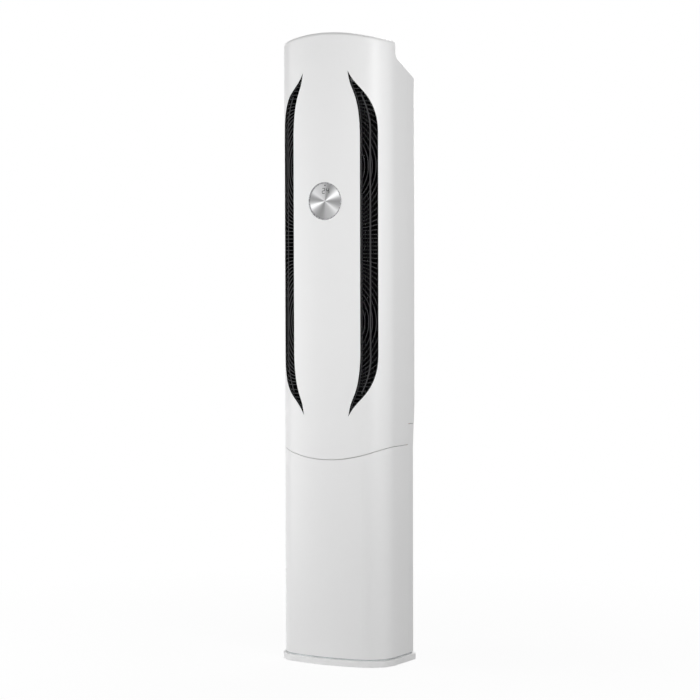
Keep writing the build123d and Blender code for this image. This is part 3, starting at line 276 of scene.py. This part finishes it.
paleDust = (0.55, 0.54, 0.52)
plasticLooks = {
    "white_plastic": {
        "colour": (0.858, 0.858, 0.858), "secondColour": (0.871, 0.871, 0.871),
        "dustColour": (0.78, 0.78, 0.77), "grain": 700.0, "patch": 5.0, "dust": 0.15,
        "roughness": (0.36, 0.42), "gloss": 0.36, "depth": 0.00004, "bump": 0.25,
    },
    "white_sheet": {
        "colour": (0.848, 0.848, 0.848), "secondColour": (0.861, 0.861, 0.861),
        "dustColour": (0.76, 0.76, 0.75), "grain": 420.0, "patch": 7.0, "dust": 0.2,
        "roughness": (0.33, 0.4), "gloss": 0.36, "depth": 0.00012, "bump": 0.35,
    },
    "rubber": {
        "colour": (0.022, 0.022, 0.023), "secondColour": (0.035, 0.035, 0.036),
        "dustColour": paleDust, "grain": 500.0, "patch": 40.0, "dust": 0.3,
        "roughness": (0.7, 0.85), "gloss": 0.3, "depth": 0.0001, "bump": 0.5,
    },
    "black_plastic": {
        "colour": (0.0022, 0.0022, 0.0025), "secondColour": (0.0034, 0.0034, 0.0037),
        "dustColour": paleDust, "grain": 900.0, "patch": 12.0, "dust": 0.0,
        "roughness": (0.5, 0.62), "gloss": 0.01, "depth": 0.00006, "bump": 0.4,
    },
    "grille_plastic": {
        "colour": (0.056, 0.056, 0.058), "secondColour": (0.07, 0.07, 0.073),
        "dustColour": paleDust, "grain": 900.0, "patch": 18.0, "dust": 0.05,
        "roughness": (0.55, 0.68), "gloss": 0.12, "depth": 0.00005, "bump": 0.3,
    },
    "fan_plastic": {
        "colour": (0.005, 0.005, 0.0055), "secondColour": (0.008, 0.008, 0.009),
        "dustColour": paleDust, "grain": 800.0, "patch": 20.0, "dust": 0.01,
        "roughness": (0.45, 0.6), "gloss": 0.12, "depth": 0.00005, "bump": 0.3,
    },
    "drain_plastic": {
        "colour": (0.7, 0.7, 0.68), "secondColour": (0.76, 0.76, 0.73), "dustColour": paleDust,
        "grain": 500.0, "patch": 14.0, "dust": 0.2, "roughness": (0.45, 0.6), "gloss": 0.4,
        "depth": 0.00008, "bump": 0.4,
    },
    "filter_plastic": {
        "colour": (0.13, 0.16, 0.2), "secondColour": (0.18, 0.21, 0.25), "dustColour": paleDust,
        "grain": 800.0, "patch": 20.0, "dust": 0.3, "roughness": (0.45, 0.6), "gloss": 0.4,
        "depth": 0.00005, "bump": 0.3,
    },
    "circuit_board": {
        "colour": (0.02, 0.16, 0.07), "secondColour": (0.03, 0.22, 0.1), "dustColour": paleDust,
        "grain": 1100.0, "patch": 60.0, "dust": 0.1, "roughness": (0.3, 0.45), "gloss": 0.5,
        "depth": 0.00004, "bump": 0.3,
    },
    "board_parts": {
        "colour": (0.03, 0.03, 0.03), "secondColour": (0.06, 0.06, 0.062),
        "dustColour": paleDust, "grain": 900.0, "patch": 90.0, "dust": 0.1,
        "roughness": (0.4, 0.6), "gloss": 0.4, "depth": 0.00005, "bump": 0.3,
    },
    "box_plastic": {
        "colour": (0.62, 0.62, 0.6), "secondColour": (0.68, 0.68, 0.65), "dustColour": paleDust,
        "grain": 520.0, "patch": 12.0, "dust": 0.25, "roughness": (0.45, 0.58), "gloss": 0.4,
        "depth": 0.00009, "bump": 0.4,
    },
}
metalLooks = {
    "galvanised_steel": {
        "colour": (0.42, 0.44, 0.45), "secondColour": (0.6, 0.62, 0.63), "metal": 0.9,
        "stretch": (1.0, 1.0, 1.0), "fineness": 160.0, "patch": 45.0, "roughness": (0.35, 0.55),
        "depth": 0.00006, "bump": 0.2,
    },
    "zinc_screws": {
        "colour": (0.55, 0.55, 0.52), "secondColour": (0.68, 0.67, 0.62), "metal": 1.0,
        "stretch": (1.0, 1.0, 1.0), "fineness": 700.0, "patch": 150.0,
        "roughness": (0.25, 0.42), "depth": 0.00004, "bump": 0.2,
    },
    "motor_metal": {
        "colour": (0.2, 0.2, 0.21), "secondColour": (0.3, 0.3, 0.31), "metal": 0.6,
        "stretch": (1.0, 1.0, 0.05), "fineness": 600.0, "patch": 30.0, "roughness": (0.35, 0.5),
        "depth": 0.00004, "bump": 0.25,
    },
    "bearing_bronze": {
        "colour": (0.42, 0.28, 0.13), "secondColour": (0.58, 0.42, 0.22), "metal": 1.0,
        "stretch": (1.0, 1.0, 0.05), "fineness": 900.0, "patch": 90.0, "roughness": (0.35, 0.5),
        "depth": 0.00003, "bump": 0.3,
    },
    "aluminium_fins": {
        "colour": (0.5, 0.52, 0.53), "secondColour": (0.78, 0.8, 0.81), "metal": 0.95,
        "stretch": (0.03, 0.03, 1.0), "fineness": 620.0, "patch": 25.0,
        "roughness": (0.25, 0.45), "depth": 0.0012, "bump": 0.8,
    },
    "copper": {
        "colour": (0.62, 0.27, 0.14), "secondColour": (0.82, 0.45, 0.28), "metal": 1.0,
        "stretch": (1.0, 1.0, 0.1), "fineness": 700.0, "patch": 30.0, "roughness": (0.22, 0.4),
        "depth": 0.00003, "bump": 0.2,
    },
    "brass": {
        "colour": (0.65, 0.48, 0.2), "secondColour": (0.82, 0.64, 0.32), "metal": 1.0,
        "stretch": (1.0, 1.0, 0.1), "fineness": 900.0, "patch": 70.0, "roughness": (0.2, 0.36),
        "depth": 0.00003, "bump": 0.2,
    },
    "bezel_metal": {
        "colour": (0.3, 0.3, 0.31), "secondColour": (0.42, 0.42, 0.43), "metal": 1.0,
        "stretch": (1.0, 1.0, 1.0), "fineness": 1200.0, "patch": 40.0,
        "roughness": (0.22, 0.32), "depth": 0.00002, "bump": 0.15,
    },
}
materials = {name: plasticMaterial(name + "Finish", look) for name, look in plasticLooks.items()}
materials.update({name: metalMaterial(name + "Finish", look) for name, look in metalLooks.items()})


# Display disc: spun metal; the spokes of light its turning lines throw are painted into its
# colour, a fixed painted highlight

discLook = {
    "centre": (0.0, 1.3605),
    "ringPitch": 0.0011,
    "ringDepth": 0.00006,
    "ringBump": 0.25,
    "blueShare": 1.01,
    "roughness": (0.3, 0.42),
    # angle from the right, anticlockwise, in degrees, and how bright the painted highlight spoke
    # is there
    "paintedSheenSpokes": [
        (0, 0.23), (12, 0.34), (22, 0.78), (33, 0.85), (44, 0.46), (60, 0.26), (75, 0.2),
        (90, 0.38), (103, 0.46), (120, 0.44), (138, 0.52), (148, 0.58), (157, 0.3), (170, 0.2),
        (186, 0.36), (196, 0.86), (204, 0.74), (216, 0.36), (240, 0.2), (260, 0.23), (276, 0.36),
        (300, 0.37), (314, 0.5), (324, 0.66), (333, 0.44), (346, 0.27), (360, 0.23),
    ],
}


def spunMetalPaintedSheen(name, look):
    # Painted highlight: the colour's brightness follows the angle about the centre, as spokes;
    # sheen and bump follow a sine of the radius
    material, tree, shader, place = newMaterial(name)
    middle = addNode(tree, "ShaderNodeMapping")
    middle.inputs["Location"].default_value = (-look["centre"][0], 0, -look["centre"][1])
    tree.links.new(place, middle.inputs["Vector"])
    split = addNode(tree, "ShaderNodeSeparateXYZ")
    tree.links.new(middle.outputs[0], split.inputs[0])
    angle = mathNode(tree, "ARCTAN2", split.outputs["Z"], split.outputs["X"])
    turn = mathNode(tree, "FRACT", mathNode(tree, "DIVIDE", angle, 2 * math.pi))
    ramp = addNode(tree, "ShaderNodeValToRGB")
    ramp.color_ramp.interpolation = "B_SPLINE"
    stops = ramp.color_ramp.elements
    for degrees, level in look["paintedSheenSpokes"][1:-1]:
        stops.new(degrees / 360)
    for stop, (degrees, level) in zip(stops, look["paintedSheenSpokes"]):
        stop.position = degrees / 360
        stop.color = (level, level, level * look["blueShare"], 1)
    tree.links.new(turn, ramp.inputs[0])
    # the painted highlight spokes go into the base colour
    tree.links.new(ramp.outputs["Color"], shader.inputs["Base Color"])
    across = mathNode(tree, "POWER", split.outputs["X"], 2.0)
    up = mathNode(tree, "POWER", split.outputs["Z"], 2.0)
    radius = mathNode(tree, "SQRT", mathNode(tree, "ADD", across, up))
    wave = mathNode(tree, "MULTIPLY", radius, 2 * math.pi / look["ringPitch"])
    rings = mathNode(tree, "SINE", wave)
    sheen = mapRange(tree, rings, -1.0, 1.0, *look["roughness"])
    tree.links.new(sheen, shader.inputs["Roughness"])
    shader.inputs["Metallic"].default_value = 1.0
    addBump(tree, shader, rings, look["ringDepth"], look["ringBump"])
    return material


materials["brushed_metal"] = spunMetalPaintedSheen("brushed_metalFinish", discLook)
for node in nodes.values():
    for place in node.material_slots:
        finish = materials.get(place.material.name.split(".")[0])
        if finish is None:
            print("no finish for", node.name, place.material.name)
        else:
            place.material = finish
print("materials:", len(materials))


# Figures on the display: plain seven-stroke numerals and a dot above them

digitLook = {
    "numerals": "24",
    "height": 0.0150,
    "width": 0.0085,
    "stroke": 0.0016,
    "trim": 0.12,  # how far a stroke stops short of its corner, as a share of its width
    "gap": 0.0055,
    "centre": (0.002, 1.3905),
    "thickness": 0.00012,
    "dot": (0.0, 1.4065, 0.0020),
    "dotCorners": 24,
}
strokeRuns = {
    # each stroke's two ends, as shares of width and height from the middle
    "top": ((-0.5, 0.5), (0.5, 0.5)),
    "middle": ((-0.5, 0.0), (0.5, 0.0)),
    "bottom": ((-0.5, -0.5), (0.5, -0.5)),
    "upperLeft": ((-0.5, 0.5), (-0.5, 0.0)),
    "upperRight": ((0.5, 0.5), (0.5, 0.0)),
    "lowerLeft": ((-0.5, 0.0), (-0.5, -0.5)),
    "lowerRight": ((0.5, 0.0), (0.5, -0.5)),
}
numeralStrokes = {
    "2": ("top", "upperRight", "middle", "lowerLeft", "bottom"),
    "4": ("upperLeft", "upperRight", "middle", "lowerRight"),
}


def strokeOutline(start, end, stroke, inset):
    # Six-cornered bar between two points, its ends cut to 45 degrees so that strokes meet
    along = (end - start) / np.linalg.norm(end - start)
    across = np.array([-along[1], along[0]])
    half = stroke / 2
    first, last = start + along * inset, end - along * inset
    return np.array([
        first, first + along * half - across * half, last - along * half - across * half,
        last, last - along * half + across * half, first + along * half + across * half,
    ])


def prism(outline, frontY, backY):
    # Closed prism between two planes from an outline (n, 2) in x and z, anticlockwise in front
    count = len(outline)
    front = np.column_stack([outline[:, 0], np.full(count, frontY), outline[:, 1]])
    back = np.column_stack([outline[:, 0], np.full(count, backY), outline[:, 1]])
    ring = np.arange(count)
    ahead = np.roll(ring, -1)
    points = np.vstack([front, back])
    walls = np.column_stack([ring, ring + count, ahead + count, ahead])
    faces = [list(ring)] + [list(ring[::-1] + count)] + walls.tolist()
    return points, faces


def displayFigures(look):
    # Each stroke is a thin bar between two points of its numeral, and the dot is a many-sided disc
    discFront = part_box("display_disc")[0].y
    outlines = []
    pitch = look["width"] + look["gap"]
    size = np.array([look["width"], look["height"]])
    stroke, inset = look["stroke"], look["stroke"] * look["trim"]
    centreX, centreZ = look["centre"]
    for place, numeral in enumerate(look["numerals"]):
        fromCentre = place - (len(look["numerals"]) - 1) / 2
        middle = np.array([centreX + fromCentre * pitch, centreZ])
        for strokeName in numeralStrokes[numeral]:
            start, end = (middle + size * share for share in strokeRuns[strokeName])
            outlines.append(strokeOutline(start, end, stroke, inset))
    dotX, dotZ, dotRadius = look["dot"]
    turn = np.linspace(0, 2 * np.pi, look["dotCorners"] + 1)[:-1]
    dot = np.column_stack([dotX + dotRadius * np.cos(turn), dotZ + dotRadius * np.sin(turn)])
    outlines.append(dot)
    frontY, backY = discFront - look["thickness"], discFront + look["thickness"]
    points, faces, shift = [], [], 0
    for outline in outlines:
        morePoints, moreFaces = prism(outline, frontY, backY)
        points.append(morePoints)
        faces += [[corner + shift for corner in face] for face in moreFaces]
        shift += len(morePoints)
    piece = meshPiece("displayFigures", np.vstack(points), faces)
    return finishPiece(piece, "cabinet", materials["black_plastic"])


displayFigures(digitLook)
print("display figures made")


# Filter nets: fine threads both ways inside each filter frame

netLook = {"pitch": 0.0028, "thread": 0.0004, "inset": 0.003, "crownInset": 0.03}


def filterNet(name, nodeName, look):
    # Four-sided bars, one to each pitch; the upright ones pass just behind the level ones
    low, high = (np.array(corner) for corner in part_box(nodeName))
    depth = (low[1] + high[1]) / 2
    half = look["thread"] / 2
    left, right = low[0] + look["inset"], high[0] - look["inset"]
    bottom, crown = low[2] + look["inset"], high[2] - look["crownInset"]
    uprightX = np.arange(left, right, look["pitch"])
    levelZ = np.arange(bottom, crown, look["pitch"])
    corners = np.array([(-1, -1), (1, -1), (1, 1), (-1, 1)]) * half
    upright = np.zeros((len(uprightX), 2, 4, 3))
    upright[..., 0] = uprightX[:, None, None] + corners[:, 0]
    upright[..., 1] = depth + half + corners[:, 1]
    upright[:, 0, :, 2] = bottom
    upright[:, 1, :, 2] = crown
    level = np.zeros((len(levelZ), 2, 4, 3))
    level[:, 0, :, 0] = right
    level[:, 1, :, 0] = left
    level[..., 1] = depth - half + corners[:, 1]
    level[..., 2] = levelZ[:, None, None] + corners[:, 0]
    bars = np.concatenate([upright, level]).reshape(-1, 8, 3)
    box = np.array([
        (0, 1, 5, 4), (1, 2, 6, 5), (2, 3, 7, 6), (3, 0, 4, 7), (3, 2, 1, 0), (4, 5, 6, 7),
    ])
    faces = (box[None] + np.arange(len(bars))[:, None, None] * 8).reshape(-1, 4)
    piece = meshPiece(name, bars.reshape(-1, 3), faces.tolist())
    body = nodes[nodeName]["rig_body"]
    return finishPiece(piece, body, materials["filter_plastic"])


filterNet("filterNetLeft", "filter_left", netLook)
filterNet("filterNetRight", "filter_right", netLook)
print("filter nets made")


# Floor, light and camera

stageLook = {
    "floorReach": 40.0,
    "floorColour": (0.9, 0.9, 0.9),
    "whiteNear": 0.94,
    "whiteFrom": 0.5,
    "whiteBy": 2.0,
    "worldGrey": 0.12,
}
lamps = {
    # place, what it points at, width and height of the lamp in metres, watts
    "frontSoft": {
        "place": (0.3, -5.0, 3.0), "aim": (0, 0, 1.3), "size": (3.0, 3.0), "watts": 13,
    },
    "leftStrip": {
        "place": (-1.6, -0.95, 1.15), "aim": (0, 0, 1.0), "size": (0.9, 2.1), "watts": 22.5,
    },
    "rightStrip": {
        "place": (1.12, -0.78, 1.5), "aim": (0.1, 0, 1.4), "size": (0.3, 1.9), "watts": 9,
    },
    "sideSoft": {
        "place": (2.6, -2.2, 2.2), "aim": (0, 0, 1.4), "size": (2.2, 2.2), "watts": 33,
    },
    "backSoft": {
        "place": (-1.0, 4.2, 2.8), "aim": (0, 0, 1.2), "size": (2.5, 2.5), "watts": 88,
    },
}
cameraLook = {
    "place": (3.2629, -5.6249, 1.1761),
    "turn": 29.7,
    "dip": 2.234,
    "roll": -0.116,
    "lens": 112.84,
    "sensor": 36.0,
    "shift": -0.01487,
}


def floorMaterial(look):
    # White to the eye, wholly so away from the object, and plain pale paint to the lamps
    material = bpy.data.materials.new("paleFloor")
    material.use_nodes = True
    tree = material.node_tree
    tree.nodes.remove(tree.nodes["Principled BSDF"])
    diffuse = addNode(tree, "ShaderNodeBsdfDiffuse")
    diffuse.inputs["Color"].default_value = (*look["floorColour"], 1)
    white = addNode(tree, "ShaderNodeEmission")
    white.inputs["Strength"].default_value = 1.0
    mix = addNode(tree, "ShaderNodeMixShader")
    place = addNode(tree, "ShaderNodeTexCoord")
    reach = addNode(tree, "ShaderNodeVectorMath", operation="LENGTH")
    tree.links.new(place.outputs["Object"], reach.inputs[0])
    away = reach.outputs["Value"]
    share = mapRange(tree, away, look["whiteFrom"], look["whiteBy"], look["whiteNear"], 1.0)
    tree.links.new(mathNode(tree, "MULTIPLY", seenDirectly(tree), share), mix.inputs[0])
    tree.links.new(diffuse.outputs[0], mix.inputs[1])
    tree.links.new(white.outputs[0], mix.inputs[2])
    tree.links.new(mix.outputs[0], tree.nodes["Material Output"].inputs["Surface"])
    return material


def seenDirectly(tree):
    # 1 for what the camera, a reflection or glass sees, 0 for light on the object
    path = addNode(tree, "ShaderNodeLightPath")
    seen = mathNode(tree, "MAXIMUM", path.outputs["Is Camera Ray"], path.outputs["Is Glossy Ray"])
    return mathNode(tree, "MAXIMUM", seen, path.outputs["Is Transmission Ray"])


def buildStage(look):
    reach = look["floorReach"]
    points = reach * np.array([(-1, -1, 0), (1, -1, 0), (1, 1, 0), (-1, 1, 0)])
    floor = meshPiece("floor", points, [(0, 1, 2, 3)])
    floor.data.materials.append(floorMaterial(look))
    world = bpy.data.worlds.new("studio")
    bpy.context.scene.world = world
    world.use_nodes = True
    tree = world.node_tree
    light = tree.nodes["Background"]
    grey = look["worldGrey"]
    light.inputs["Color"].default_value = (grey, grey, grey, 1)
    white = addNode(tree, "ShaderNodeBackground")
    white.inputs["Color"].default_value = (1, 1, 1, 1)
    mix = addNode(tree, "ShaderNodeMixShader")
    tree.links.new(seenDirectly(tree), mix.inputs[0])
    tree.links.new(light.outputs[0], mix.inputs[1])
    tree.links.new(white.outputs[0], mix.inputs[2])
    tree.links.new(mix.outputs[0], tree.nodes["World Output"].inputs["Surface"])


def buildLamps(lamps):
    for name, look in lamps.items():
        data = bpy.data.lights.new(name, "AREA")
        data.shape = "RECTANGLE"
        data.size, data.size_y = look["size"]
        data.energy = look["watts"]
        lamp = bpy.data.objects.new(name, data)
        lamp.location = look["place"]
        aim = Vector(look["aim"]) - Vector(look["place"])
        lamp.rotation_euler = aim.to_track_quat("-Z", "Y").to_euler()
        bpy.context.scene.collection.objects.link(lamp)


def buildCamera(look):
    # Turn to the left, dip below level and roll are in degrees, lens and sensor in millimetres
    data = bpy.data.cameras.new("photoCamera")
    data.lens = look["lens"]
    data.sensor_width = look["sensor"]
    data.shift_x = look["shift"]
    camera = bpy.data.objects.new("photoCamera", data)
    turn = Matrix.Rotation(math.radians(look["turn"]), 4, "Z")
    tilt = Matrix.Rotation(math.radians(90 - look["dip"]), 4, "X")
    roll = Matrix.Rotation(math.radians(look["roll"]), 4, "Z")
    camera.matrix_world = Matrix.Translation(look["place"]) @ turn @ tilt @ roll
    bpy.context.scene.collection.objects.link(camera)
    bpy.context.scene.camera = camera


buildStage(stageLook)
buildLamps(lamps)
buildCamera(cameraLook)
bpy.context.scene.view_settings.view_transform = "Standard"
print("stage, lamps and camera ready")
